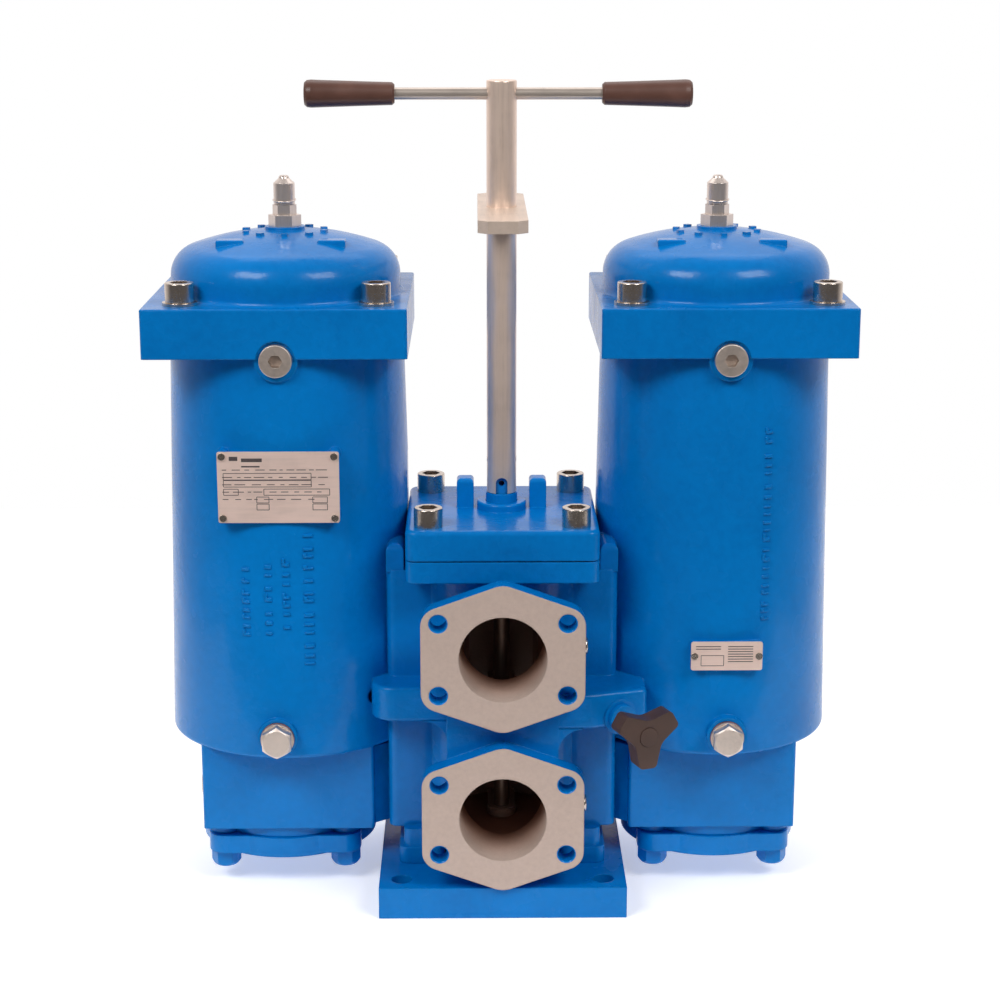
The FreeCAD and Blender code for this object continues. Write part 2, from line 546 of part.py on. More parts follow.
def build_bottom(side, sign):
    axis = "sump_x_" + side
    low = at_vessel(sign, 0, 0, "{bottom_low}", axis)
    thick = "{collar_low} - {bottom_low}"
    square = box("{bottom_wide}", "{bottom_deep}", thick + " - 1.5", at_vessel(sign, 0, 0, "{bottom_low} + 1.5", axis))
    parts = [rod("{bottom_rad}", thick, low), rod("{sump_bore_rad} - 0.5", thick + "+ 8", low),
             rounded(square, 16, upright)]
    holes = []
    bolts = []
    for sx, sy in corners(1, 1):
        under = at_vessel(sign, "%d*{ear_at}" % sx, "%d*{ear_at}" % sy, "{bottom_low} + 1.5", axis)
        holes.append(rod("{bottom_bolt_rad} + 0.5", 40, under[:2] + ("{bottom_low} - 5",)))
        holes.append(rod(13.6, 10, under[:2] + ("{bottom_low} - 8.5",)))
        bolts.append(hex_bolt("{bottom_bolt_rad}", 22.4, "{bottom_head}", 38, under, DOWN))
    seat = at_vessel(sign, 0, 0, "{collar_low} - 3", axis)
    groove = remove(rod(66, 5, seat), rod("{sump_bore_rad} - 0.5", 5, seat))
    node("bottom_cover_" + side, remove(join(*parts), *(holes + [groove])))
    seal = [("{sump_bore_rad}", 0), (65.6, 0), (65.6, 3), ("{sump_bore_rad}", 3)]
    node("bottom_seal_" + side, turned("Seal", seal, seat))
    group("bottom_bolts_" + side, bolts)


# ---------------------------------------------------------------- plugs and plates

def build_plugs(side, sign):
    face = ("%d*{drain_x}" % sign, "{drain_face}", "{drain_z}")
    washer = [("{drain_rad} + 0.2", 0), (14.2, 0), (14.2, 1.6), ("{drain_rad} + 0.2", 1.6)]
    node("drain_washer_" + side, turned("Washer", washer, face, FRONT))
    out = (face[0], "{drain_face} - 1.6", face[2])
    point_down = FRONT * Turn(Vec(0, 0, 1), 30)
    node("drain_plug_" + side, hex_bolt("{drain_rad}", 24, 12, 20, out, point_down))
    seat = plug_seat(side, sign, 0)
    head = rod("{port_plug_rad}", 5, seat, FRONT)
    head = rounded(head, 0.8, lambda e: len(e.Vertexes) == 1 and e.CenterOfMass.y < probe("Dim.port_plug_face") - 4)
    plug = join(head, rod("{port_plug_rad} - 3", 14, seat, FRONT * DOWN))
    node("indicator_plug_" + side, remove(plug, hexagon(10.2, 12, plug_seat(side, sign, 3), FRONT)))


def build_plate(name, wide, high, x, y, z, pins_at):
    """Thin plate and its drive pins on the casting's pads."""
    face = plate("Plate", [(-wide / 2, -high / 2), (wide / 2, -high / 2), (wide / 2, high / 2), (-wide / 2, high / 2)],
                 1, (x, y, z), FRONT)
    face = soften(face, 2, along_front)
    holes = []
    pins = []
    for dx, dz in pins_at:
        holes.append(rod(1.8, 5, (x + dx, y + 2, z + dz), FRONT))
        pins.append(join(rod(1.5, 10, (x + dx, y - 1, z + dz), FRONT * DOWN),
                         rod(3, 1.4, (x + dx, y - 1, z + dz), FRONT)))
    node(name, remove(face, *holes))
    group(name + "_pins", pins)


def build_small_plugs():
    plugs = []
    for z in ("{port_low}", "{port_high}"):
        spot = (66, -72, z)
        head = rounded(rod(7.4, 5.5, spot, RIGHT), 2, lambda e: len(e.Vertexes) == 1 and e.CenterOfMass.x > 70)
        plugs.append(join(rod(5, 16, spot, RIGHT * DOWN), head))
    group("gauge_plugs", plugs)
    node("side_plug", hex_bolt(8, 20, 7.5, 16, (-260.5, 30, 70), LEFT))


# ---------------------------------------------------------------- changeover valve

def build_valve_cover():
    half = "{top_flange_side}/2"
    low = "-{top_flange_side}/2"
    body = plate("ValveCover", [(low, low), (half, low), (half, half), (low, half)], "{cover_top} - {cover_low}",
                 (0, 0, "{cover_low}"))
    body = soften(body, 9, upright)
    body = soften(body, 4, level(probe("Dim.cover_top")))
    ring = rod(21, 7, (0, 0, "{cover_top}"))
    parts = [body, rounded(ring, 2, lambda e: len(e.Vertexes) == 1 and e.CenterOfMass.z > probe("Dim.cover_top") + 5)]
    for sx in (-1, 1):
        lug = box(14.5, 18, 26, (sx * 31, 8, "{cover_top} - 0.5"))
        parts.append(rounded(lug, 4, lambda e: level(probe("Dim.cover_top") + 25.5)(e)))
    cuts = [rod(10.3, 40, (0, 0, "{cover_low} - 1")), rod(13.6, 30, (0, 0, 319))]
    for sx, sy in corners(1, 1):
        cuts.append(rod("{screw_rad} + 0.7", 40, ("%d*{valve_bolt}" % sx, "%d*{valve_bolt}" % sy, "{cover_low} - 5")))
    node("valve_cover", remove(join(*parts), *cuts))
    sheet = rounded(box("{top_flange_side} - 3", "{top_flange_side} - 3", "{cover_low} - {top_flange_top}",
                        (0, 0, "{top_flange_top}")), 8, upright)
    cuts = [rod("{chamber_rad} + 1", 5, (0, 0, "{top_flange_top} - 2"))]
    for sx, sy in corners(1, 1):
        cuts.append(rod("{screw_rad} + 1", 5, ("%d*{valve_bolt}" % sx, "%d*{valve_bolt}" % sy, "{top_flange_top} - 2")))
    node("valve_cover_gasket", remove(sheet, *cuts))
    screws = []
    for sx, sy in corners(1, 1):
        spot = ("%d*{valve_bolt}" % sx, "%d*{valve_bolt}" % sy, "{cover_top}")
        screws.append(socket_screw("{screw_rad}", "{head_rad}", "{head_high}", 43, spot))
    group("valve_cover_screws", screws)
    node("spindle_seal", turned("Seal", [(10.05, 0), (13.5, 0), (13.5, 6), (10.05, 6)], (0, 0, 319)))
    gland = [(10.3, 0), (13.5, 0), (13.5, 22), (10.3, 22)]
    node("spindle_gland", turned("Gland", gland, (0, 0, 325)))


def build_spindle():
    profile = [(0, "{journal_low}"), ("{journal_rad}", "{journal_low}"), ("{journal_rad}", "{chamber_floor} + 1"),
               ("{spindle_rad}", "{chamber_floor} + 1"), ("{spindle_rad}", 296), (14, 296), (14, 302), (10, 302),
               (10, 346), (9.6, 346), (9.6, 386), (0, 386)]
    shaft = turned("Spindle", profile, (0, 0, 0))
    node("spindle", remove(shaft, rod(2.55, 40, (0, 20, 356), FRONT), rod(3.05, 40, (-20, 0, 376), RIGHT)))
    for name, low, high in (("rotor_lower", 55.2, 134), ("rotor_upper", 166, 280)):
        start = Turn(Vec(0, 0, 1), 90 - probe("Dim.rotor_span") / 2)
        shell = rod("{rotor_rad}", high - low, (0, 0, low), start)
        shell.Angle = probe("Dim.rotor_span")
        shell = remove(shell, rod("{rotor_inner}", high - low + 2, (0, 0, low - 1)))
        parts = [shell]
        for z in (low, high - 4):
            arm = box(24, 48, 4, (0, 22, z))
            parts += [arm, rod(13, 4, (0, 0, z)), rod(12, 8, (0, 0, z - 2))]
        bore = rod("{spindle_rad} + 0.02", high - low + 20, (0, 0, low - 10))
        node(name, remove(join(*parts), bore))


def build_handle():
    high = "{tube_top} - {tube_low}"
    tube = rod("{tube_rad}", high, (0, 0, "{tube_low}"))
    tube = rounded(tube, 1.2, lambda e: len(e.Vertexes) == 1 and e.CenterOfMass.z > 600)
    notch = join(box(10, 30, 9.4, (0, -15, "{tube_low} - 0.4")), rod(5, 30, (0, 0, "{tube_low} + 9"), FRONT))
    cuts = [rod("{tube_bore}", 44, (0, 0, "{tube_low} - 1")), notch,
            rod("{bar_rad} + 0.05", 60, (-30, 0, "{bar_z}"), RIGHT), rod(3.05, 60, (-30, 0, 376), RIGHT)]
    node("handle_tube", remove(tube, *cuts))
    node("handle_pin", rod(3, 25, (-12.5, 0, 376), RIGHT))
    bar = rod("{bar_rad}", "2*{bar_half}", ("{bar_shift} - {bar_half}", 0, "{bar_z}"), RIGHT)
    node("handle_bar", bar)
    grips = []
    for turn, sign in ((LEFT, -1), (RIGHT, 1)):
        profile = [(5.05, 0), (7.6, 0), (9.3, 2), (9.9, 24), (11.0, 58), (11.4, 68), (11.0, 71.5), (9.2, 73.6),
                   (6, "{grip_long}"), (0, "{grip_long}"), (0, "{grip_long} - 2.9"), (5.05, "{grip_long} - 2.9")]
        start = "{bar_shift} + %d*({grip_half} - {grip_long})" % sign
        grips.append(turned("Grip", profile, (start, 0, "{bar_z}"), turn))
    group("handle_grips", grips)
    wide = "{lock_wide}/2"
    long = "{lock_long}/2"
    outline = [("-" + wide, "8 - " + long), ("8 - " + wide, "-" + long), (wide + " - 8", "-" + long),
               (wide, "8 - " + long), (wide, long + " - 8"), (wide + " - 8", long), ("8 - " + wide, long),
               ("-" + wide, long + " - 8")]
    bar = plate("Interlock", outline, "{lock_thick}", (0, 0, "{lock_top} - {lock_thick}"))
    node("interlock_bar", remove(bar, rod("{tube_rad} + 0.02", 40, (0, 0, "{lock_top} - 25"))))


# ---------------------------------------------------------------- equalising valve

def build_equaliser():
    turn = eq_turn()
    gland = [(5.4, 0), (9, 0), (9, 14), (12, 14), (12, 20), (5.4, 20)]
    node("equalising_gland", turned("Gland", gland, eq_point(-10), turn))
    stem = [(0, 0), (2, 0), (5, 6), (5, 73), (3.4, 73), (3.4, 87), (0, 87)]
    node("equalising_stem", turned("Stem", stem, eq_point(-37.5), turn))
    outline = []
    for i in range(3):
        a = math.radians(120 * i + 51.5)
        b = math.radians(120 * i + 111.5)
        for u, v in ((27.5, -7.5), (27.5, 7.5)):
            outline.append((round(u * math.cos(a) - v * math.sin(a), 4), round(u * math.sin(a) + v * math.cos(a), 4)))
        outline.append((round(13.5 * math.cos(b), 4), round(13.5 * math.sin(b), 4)))
    knob = plate("Knob", outline, "{knob_thick}", eq_point("{knob_out} - {knob_thick}/2"), turn)
    tips = lambda e: radial(e) > 24
    knob = soften(knob, 4, lambda e: straight(e) and tips(e))
    knob = soften(knob, 14, lambda e: straight(e) and 9 < radial(e) < 15)
    cuts = [rod(3.75, "{knob_thick} - 2", eq_point("{knob_out} - {knob_thick}/2 - 4"), turn),
            rod(8.1, 3, eq_point("{knob_out} + {knob_thick}/2 - 1.6"), turn)]
    base = rod(9, 4, eq_point("{knob_out} - {knob_thick}/2 - 4"), turn)
    node("equalising_knob", remove(join(knob, base), *cuts))
    node("knob_cap", rod(8, 2.2, eq_point("{knob_out} + {knob_thick}/2 - 1.6"), turn))


def knob_axis():
    return Vec(*[probe(str(v).replace("{", "Dim.").replace("}", "")) for v in eq_point(0)])


def radial(edge):
    out = eq_turn().multVec(Vec(0, 0, 1))
    offset = edge.CenterOfMass - knob_axis()
    return (offset - out * offset.dot(out)).Length


def straight(edge):
    ends = [v.Point for v in edge.Vertexes]
    if len(ends) != 2:
        return False
    run = ends[1] - ends[0]
    return abs(abs(run.dot(eq_turn().multVec(Vec(0, 0, 1)))) - run.Length) < 1e-4


build_base()
build_housing()
for side, sign in SIDES:
    build_cover(side, sign)
    build_vent(side, sign)
    build_basket(side, sign)
    build_bottom(side, sign)
    build_plugs(side, sign)
build_plate("nameplate", 100.0, 60.0, -184, -70, 368, corners(46, 26))
build_plate("instruction_plate", 60.0, 25.0, 188, -72, 222, ((-27, 0), (27, 0)))
build_small_plugs()
build_valve_cover()
build_spindle()
build_handle()
build_equaliser()
doc.recompute()

for thing in doc.Objects:
    if "Invalid" in thing.State or "Error" in thing.State:
        raise RuntimeError("failed: " + thing.Label)
os.makedirs("parts", exist_ok=True)
for name, thing in NODES:
    if thing.Shape.isNull() or not thing.Shape.isValid():
        raise RuntimeError("bad shape: " + name)
    thing.Shape.exportStep("parts/%s.step" % name)
    print(name, len(thing.Shape.Solids), round(thing.Shape.Volume))
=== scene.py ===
"""Looks of the twin basket strainer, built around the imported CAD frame. Metres, +Z up, ports face -Y."""

import math
import random

import bmesh
import bpy
from mathutils import Matrix, Vector


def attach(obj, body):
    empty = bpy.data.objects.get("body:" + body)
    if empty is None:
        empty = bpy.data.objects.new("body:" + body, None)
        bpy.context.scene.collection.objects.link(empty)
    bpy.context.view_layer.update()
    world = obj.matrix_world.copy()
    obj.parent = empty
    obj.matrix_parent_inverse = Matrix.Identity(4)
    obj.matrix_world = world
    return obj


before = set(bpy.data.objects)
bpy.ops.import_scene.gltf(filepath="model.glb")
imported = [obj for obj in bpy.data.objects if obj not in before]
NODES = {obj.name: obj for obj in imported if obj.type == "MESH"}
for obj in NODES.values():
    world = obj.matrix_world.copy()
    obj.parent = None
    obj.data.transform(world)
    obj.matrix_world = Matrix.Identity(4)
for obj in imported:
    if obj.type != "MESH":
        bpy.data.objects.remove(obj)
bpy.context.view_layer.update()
BODY = "strainer_body"
VESSEL_X, VESSEL_Y = 0.1827, 0.0346
SIDES = (("left", -1), ("right", 1))
SHELL_LOW, SHELL_RISE = 0.1315, 0.3429
SHELL_RADII = {-1: (0.108, 0.0995), 1: (0.1038, 0.0975)}
TICK_DEPTH, TICK_TAPER = 0.0022, 0.7
INK_LINE, INK_DEPTH = 0.0005, 0.0001
FLOOR_CORNERS = ((-1.1, -0.45), (1.1, -0.45), (1.1, 1.3), (-1.1, 1.3))
FLOOR_DROP = 0.0002


# ---------------------------------------------------------------- shader helpers

class Shader:
    """Small wrapper that adds nodes to one material."""

    def __init__(self, name):
        self.material = bpy.data.materials.new(name)
        self.material.use_nodes = True
        self.tree = self.material.node_tree
        self.bsdf = self.tree.nodes["Principled BSDF"]
        self.coords = self.node("ShaderNodeTexCoord").outputs["Object"]

    def node(self, kind, **settings):
        made = self.tree.nodes.new(kind)
        for key, value in settings.items():
            setattr(made, key, value)
        return made

    def link(self, source, target):
        self.tree.links.new(source, target)

    def set(self, **values):
        for key, value in values.items():
            self.bsdf.inputs[key.replace("_", " ")].default_value = value

    def math(self, operation, first, second=None):
        made = self.node("ShaderNodeMath", operation=operation)
        for socket, value in zip(made.inputs, (first, second)):
            if value is None:
                continue
            if isinstance(value, (int, float)):
                socket.default_value = value
            else:
                self.link(value, socket)
        return made.outputs[0]

    def within(self, first, second, reach):
        """1 where two coordinates lie inside a circle, 0 elsewhere."""
        squares = [self.math("MULTIPLY", side, side) for side in (first, second)]
        return self.math("LESS_THAN", self.math("SQRT", self.math("ADD", *squares)), reach)

    def axes(self):
        split = self.node("ShaderNodeSeparateXYZ")
        self.link(self.coords, split.inputs[0])
        return split.outputs

    def noise(self, scale, detail=3.0, rough=0.5, stretch=(1, 1, 1)):
        mapping = self.node("ShaderNodeMapping")
        mapping.inputs["Scale"].default_value = stretch
        self.link(self.coords, mapping.inputs["Vector"])
        made = self.node("ShaderNodeTexNoise")
        made.inputs["Scale"].default_value = scale
        made.inputs["Detail"].default_value = detail
        made.inputs["Roughness"].default_value = rough
        self.link(mapping.outputs[0], made.inputs["Vector"])
        return made.outputs["Fac"]

    def ramp(self, source, stops):
        made = self.node("ShaderNodeValToRGB")
        elements = made.color_ramp.elements
        while len(elements) < len(stops):
            elements.new(0.5)
        for element, (place, colour) in zip(elements, stops):
            element.position = place
            element.color = (*colour, 1)
        self.link(source, made.inputs["Fac"])
        return made.outputs["Color"]

    def grey(self, source, low, high, at_low, at_high):
        made = self.node("ShaderNodeMapRange")
        for key, value in zip(("From Min", "From Max", "To Min", "To Max"), (low, high, at_low, at_high)):
            made.inputs[key].default_value = value
        self.link(source, made.inputs["Value"])
        return made.outputs["Result"]

    def mix(self, factor, first, second):
        made = self.node("ShaderNodeMix", data_type="RGBA")
        for socket, value in zip((made.inputs[0], made.inputs[6], made.inputs[7]), (factor, first, second)):
            if isinstance(value, (tuple, float, int)):
                socket.default_value = value if not isinstance(value, tuple) else (*value[:3], 1)
            else:
                self.link(value, socket)
        return made.outputs[2]

    def bump(self, height, distance, strength=1.0, rounding=0.0, seam=None):
        made = self.node("ShaderNodeBump")
        made.inputs["Distance"].default_value = distance
        made.inputs["Strength"].default_value = strength
        self.link(height, made.inputs["Height"])
        if rounding:
            bevel = self.node("ShaderNodeBevel", samples=6)
            bevel.inputs["Radius"].default_value = rounding
            if seam is not None:
                away = self.math("ABSOLUTE", self.math("SUBTRACT", self.axes()[2], seam))
                clear = self.math("GREATER_THAN", away, SEAM_CLEAR)
                self.link(self.math("MULTIPLY", clear, rounding), bevel.inputs["Radius"])
            self.link(bevel.outputs[0], made.inputs["Normal"])
        return made.outputs[0]

    def finish(self, colour, rough, normal=None):
        self.link(colour, self.bsdf.inputs["Base Color"])
        self.link(rough, self.bsdf.inputs["Roughness"])
        if normal is not None:
            self.link(normal, self.bsdf.inputs["Normal"])
        return self.material


# ---------------------------------------------------------------- materials

BLUE = (0.0, 0.176, 0.53)
BLUE_DEEP = (0.0, 0.146, 0.46)
BLUE_LIGHT = (0.0, 0.200, 0.60)
BARE = (0.51, 0.40, 0.345)
COVER_SEAM = 0.497
SEAM_CLEAR = 0.0045
PORT_HEIGHTS = (0.0909, 0.2313)
PORT_FACE = -0.1097
BORE_REACH = 0.0368
CHAMBER_REACH = 0.0525
CHAMBER_FLOOR = 0.0515
BLOCK_HALF, BLOCK_FRONT = 0.074, -0.06
COAT = 0.22
SLOT_HEIGHT = 0.325


def paint_colour(shader):
    broad = shader.noise(9, 4)
    fine = shader.noise(160, 3)
    tone = shader.math("ADD", shader.math("MULTIPLY", broad, 0.7), shader.math("MULTIPLY", fine, 0.3))
    return shader.ramp(tone, [(0.3, BLUE_DEEP), (0.5, BLUE), (0.72, BLUE_LIGHT)])


def paint(name, cast=1.0, bare_ports=False):
    """Glossy blue paint over cast iron; the port faces and bores of the casting stay bare, with painted shade
    darkening the bare metal deeper into the bores and across the valve chamber.
    """
    shader = Shader(name)
    shader.set(IOR=1.5, Specular_IOR_Level=0.14, Coat_Weight=COAT, Coat_Roughness=0.08, Coat_IOR=1.35)
    orange = shader.noise(420, 2)
    lumps = shader.noise(95, 3, 0.55)
    if bare_ports:
        x, y, _ = shader.axes()
        block = shader.math("LESS_THAN", shader.math("ABSOLUTE", x), BLOCK_HALF)
        block = shader.math("MULTIPLY", block, shader.math("LESS_THAN", y, BLOCK_FRONT))
        cast = shader.math("ADD", cast, shader.math("MULTIPLY", block, 1.4))
    height = shader.math("ADD", shader.math("MULTIPLY", orange, 0.3), shader.math("MULTIPLY", lumps, cast))
    normal = shader.bump(height, 0.0006, 0.5, rounding=0.0018, seam=COVER_SEAM)
    colour = paint_colour(shader)
    rough = shader.grey(shader.noise(30, 3), 0.35, 0.65, 0.2, 0.3)
    if bare_ports:
        bare = bare_mask(shader)
        tool = shader.noise(260, 3, 0.6)
        metal = shader.ramp(tool, [(0.25, (0.48, 0.375, 0.325)), (0.5, BARE), (0.8, (0.54, 0.425, 0.365))])
        # Painted shade: the bare metal turns a darker brown the deeper it lies in the bores, and the valve
        # chamber behind them gets the dark tone.
        inside = shader.grey(shader.axes()[1], -0.104, -0.050, 0.0, 1.0)
        metal = shader.mix(inside, metal, (0.36, 0.19, 0.13))
        colour = shader.mix(bare, colour, metal)
        rough = shader.math("ADD", rough, shader.math("MULTIPLY", bare, 0.3))
        coat = shader.math("MULTIPLY", shader.math("SUBTRACT", 1.0, bare), COAT)
        shader.link(coat, shader.bsdf.inputs["Coat Weight"])
    return shader.finish(colour, rough, normal)


def bare_mask(shader):
    """1 on the two machined port faces, in their bores and in the valve chamber, 0 elsewhere."""
    x, y, z = shader.axes()
    mask = shader.math("LESS_THAN", y, PORT_FACE)
    in_front = shader.math("LESS_THAN", y, 0.0)
    for height in PORT_HEIGHTS:
        bore = shader.within(x, shader.math("SUBTRACT", z, height), BORE_REACH)
        mask = shader.math("MAXIMUM", mask, shader.math("MULTIPLY", bore, in_front))
    above = shader.math("GREATER_THAN", z, CHAMBER_FLOOR)
    chamber = shader.math("MULTIPLY", shader.within(x, y, CHAMBER_REACH), above)
    return shader.math("MAXIMUM", mask, chamber)


def spindle_metal():
    """Bare iron darkened as painted shade down in the valve, blue paint where it shows through the tube's slot.
    """
    shader = Shader("spindle_metal")
    painted = shader.math("GREATER_THAN", shader.axes()[2], SLOT_HEIGHT)
    streak = shader.noise(300, 3, 0.6, (1, 1, 0.1))
    # The spindle is bare iron, but these iron tones are kept dark as painted shade so it reads as the shaded
    # inside of the valve.
    iron = shader.ramp(streak, [(0.3, (0.30, 0.26, 0.23)), (0.7, (0.42, 0.37, 0.33))])
    colour = shader.mix(painted, iron, paint_colour(shader))
    metallic = shader.math("SUBTRACT", 0.8, shader.math("MULTIPLY", painted, 0.8))
    shader.link(metallic, shader.bsdf.inputs["Metallic"])
    return shader.finish(colour, shader.grey(streak, 0.3, 0.7, 0.32, 0.42), shader.bump(streak, 0.0001, 0.5))


def metal(name, colour, rough=0.3, grain=(1, 1, 1), scale=500, depth=0.00006, spread=0.12, rounding=0.0004,
          metallic=1.0):
    shader = Shader(name)
    shader.set(Metallic=metallic)
    grain_fac = shader.noise(scale, 4, 0.6, grain)
    patches = shader.noise(40, 3)
    tone = shader.math("ADD", shader.math("MULTIPLY", grain_fac, 0.5), shader.math("MULTIPLY", patches, 0.5))
    dark = tuple(c * 0.86 for c in colour)
    light = tuple(min(1.0, c * 1.08) for c in colour)
    tint = shader.ramp(tone, [(0.3, dark), (0.5, colour), (0.75, light)])
    roughness = shader.grey(tone, 0.3, 0.7, rough - spread / 2, rough + spread / 2)
    return shader.finish(tint, roughness, shader.bump(grain_fac, depth, 0.6, rounding=rounding))


def plastic(name, colour, rough=0.45):
    shader = Shader(name)
    shader.set(IOR=1.46)
    pebble = shader.noise(900, 2)
    smudge = shader.noise(35, 3)
    light = tuple(c * 1.35 for c in colour)
    dark = tuple(c * 0.8 for c in colour)
    tint = shader.ramp(smudge, [(0.3, dark), (0.55, colour), (0.8, light)])
    roughness = shader.grey(smudge, 0.3, 0.7, rough - 0.08, rough + 0.08)
    return shader.finish(tint, roughness, shader.bump(pebble, 0.0001, 0.5, rounding=0.0008))


def rubber(name, colour=(0.012, 0.012, 0.013)):
    shader = Shader(name)
    speck = shader.noise(700, 2)
    tint = shader.ramp(speck, [(0.3, colour), (0.7, tuple(c * 1.8 for c in colour))])
    roughness = shader.grey(speck, 0.3, 0.7, 0.6, 0.8)
    return shader.finish(tint, roughness, shader.bump(speck, 0.0001, 0.4))


MATERIALS = {
    "casting": paint("casting_paint", bare_ports=True),
    "paint": paint("cover_paint"),
    "plate_paint": paint("plate_paint", cast=0.2),
    "screw": metal("zinc_screw", (0.66, 0.58, 0.51), 0.26, scale=500, spread=0.06),
    "plug": metal("zinc_plug", (0.74, 0.64, 0.57), 0.5, scale=300, spread=0.08),
    "vent": metal("turned_steel", (0.80, 0.70, 0.64), 0.3, (1, 1, 0.1), 700, spread=0.06, metallic=0.8),
    "handle": metal("drawn_steel", (0.92, 0.73, 0.61), 0.34, (1, 1, 0.05), 500, spread=0.08, metallic=0.6),
    "spindle": spindle_metal(),
    "bar": metal("drawn_bar", (0.66, 0.57, 0.50), 0.3, (0.05, 1, 1), 500, spread=0.06, metallic=0.7),
    "lock": metal("brushed_bar", (0.74, 0.60, 0.50), 0.42, (1, 0.06, 1), 400, spread=0.06, metallic=0.5),
    "copper": metal("copper_washer", (0.48, 0.16, 0.09), 0.4),
    "iron": metal("rotor_iron", (0.56, 0.45, 0.40), 0.45, metallic=0.5),
    "nameplate": metal("satin_plate", (0.86, 0.66, 0.58), 0.5, (0.08, 1, 1), 300, spread=0.04, metallic=0.4),
    "basket": metal("basket_sheet", (0.5, 0.5, 0.5), 0.35),
    "plastic": plastic("brown_plastic", (0.115, 0.052, 0.038), 0.36),
    "knob": plastic("knob_plastic", (0.066, 0.035, 0.026)),
    "rubber": rubber("seal_rubber"),
    "ink": rubber("plate_ink", (0.05, 0.04, 0.04)),
}
LOOKS = {
    "casting": ["housing"],
    "paint": ["valve_cover", "cover_left", "cover_right", "bottom_cover_left", "bottom_cover_right",
              "spindle_gland"],
    "plate_paint": ["base_plate", "bottom_bolts_left", "bottom_bolts_right", "equalising_gland"],
    "screw": ["base_screws", "valve_cover_screws", "cover_screws_left", "cover_screws_right",
              "cover_washers_left", "cover_washers_right", "gauge_plugs", "side_plug", "nameplate_pins",
              "instruction_plate_pins"],
    "plug": ["drain_plug_left", "drain_plug_right", "indicator_plug_left", "indicator_plug_right"],
    "vent": ["vent_coupling_left", "vent_coupling_right", "vent_cap_left", "vent_cap_right"],
    "handle": ["handle_tube", "handle_pin", "equalising_stem"],
    "spindle": ["spindle"],
    "bar": ["handle_bar"],
    "lock": ["interlock_bar"],
    "copper": ["drain_washer_left", "drain_washer_right"],
    "iron": ["rotor_lower", "rotor_upper"],
    "nameplate": ["nameplate", "instruction_plate"],
    "basket": ["basket_%s_%s" % (part, side) for part in ("shell", "ring", "foot", "bail")
               for side, _ in SIDES],
    "plastic": ["handle_grips"],
    "knob": ["equalising_knob", "knob_cap"],
    "rubber": ["valve_cover_gasket", "spindle_seal", "cover_seal_left", "cover_seal_right",
               "bottom_seal_left", "bottom_seal_right"],
}
for look, names in LOOKS.items():
    for name in names:
        node = NODES[name]
        node.data.materials.clear()
        node.data.materials.append(MATERIALS[look])


# ---------------------------------------------------------------- added pieces

def piece(name, bm, look, body):
    mesh = bpy.data.meshes.new(name)
    bm.to_mesh(mesh)
    bm.free()
    made = bpy.data.objects.new(name, mesh)
    bpy.context.scene.collection.objects.link(made)
    mesh.materials.append(MATERIALS[look])
    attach(made, body)
    return made


def brick(bm, place, size, turn=None, taper=1.0):
    """Block centred on place, smaller at its outer (-Y) end by taper."""
    turn = turn or Matrix.Identity(3)
    corners = []
    for y in (1, -1):
        shrink = taper if y < 0 else 1.0
        for x, z in ((-1, -1), (1, -1), (1, 1), (-1, 1)):
            local = Vector((x * size[0] / 2 * shrink, y * size[1] / 2, z * size[2] / 2 * shrink))
            corners.append(bm.verts.new(Vector(place) + turn @ local))
    for ids in ((0, 1, 2, 3), (7, 6, 5, 4), (0, 4, 5, 1), (1, 5, 6, 2), (2, 6, 7, 3), (3, 7, 4, 0)):
        bm.faces.new([corners[i] for i in ids])


def shell_point(sign, across, height):
    """Point on a vessel's front skin at a sideways offset, and the turn that faces it."""
    low, top = SHELL_RADII[sign]
    radius = low + (top - low) * (height - SHELL_LOW) / SHELL_RISE
    angle = math.asin(across / radius)
    spot = Vector((sign * VESSEL_X + radius * math.sin(angle), VESSEL_Y - radius * math.cos(angle), height))
    return spot, Matrix.Rotation(angle, 3, "Z")


def cast_marks(name, sign, columns, seed):
    """Upright rows of raised foundry ticks, with no lettering."""
    rng = random.Random(seed)
    bm = bmesh.new()
    for across, low, high, tall in columns:
        height = low
        while height < high:
            run = rng.choice((0.0035, 0.005, 0.0065))
            spot, turn = shell_point(sign, across, height + run / 2)
            brick(bm, spot, (tall, TICK_DEPTH, run * 0.62), turn, TICK_TAPER)
            if rng.random() < 0.45:
                spot, turn = shell_point(sign, across - tall * 0.28, height + run)
                brick(bm, spot, (tall * 0.4, TICK_DEPTH, run * 0.8), turn, TICK_TAPER)
            height += run + rng.choice((0.0022, 0.003, 0.0065))
    return piece(name, bm, "paint", BODY)


def wire_loop(side, sign):
    """Thin retaining ring round the foot of a vent cap."""
    reach, wire = 0.0094, 0.0006
    bm = bmesh.new()
    low = min(corner[2] for corner in NODES["vent_cap_" + side].bound_box)
    rings = []
    for i in range(40):
        turn = math.tau * i / 40
        hub = Vector((sign * VESSEL_X + reach * math.cos(turn), VESSEL_Y + reach * math.sin(turn),
                      low + 0.0035 + 0.0012 * math.sin(turn)))
        out = Vector((math.cos(turn), math.sin(turn), 0))
        rings.append([bm.verts.new(hub + out * wire * math.cos(a) + Vector((0, 0, wire * math.sin(a))))
                      for a in (math.tau * k / 8 for k in range(8))])
    for first, second in zip(rings, rings[1:] + rings[:1]):
        for k in range(8):
            bm.faces.new((first[k], second[k], second[(k + 1) % 8], first[(k + 1) % 8]))
    for face in bm.faces:
        face.smooth = True
    return piece("vent_loop_" + side, bm, "vent", "cap_" + side)


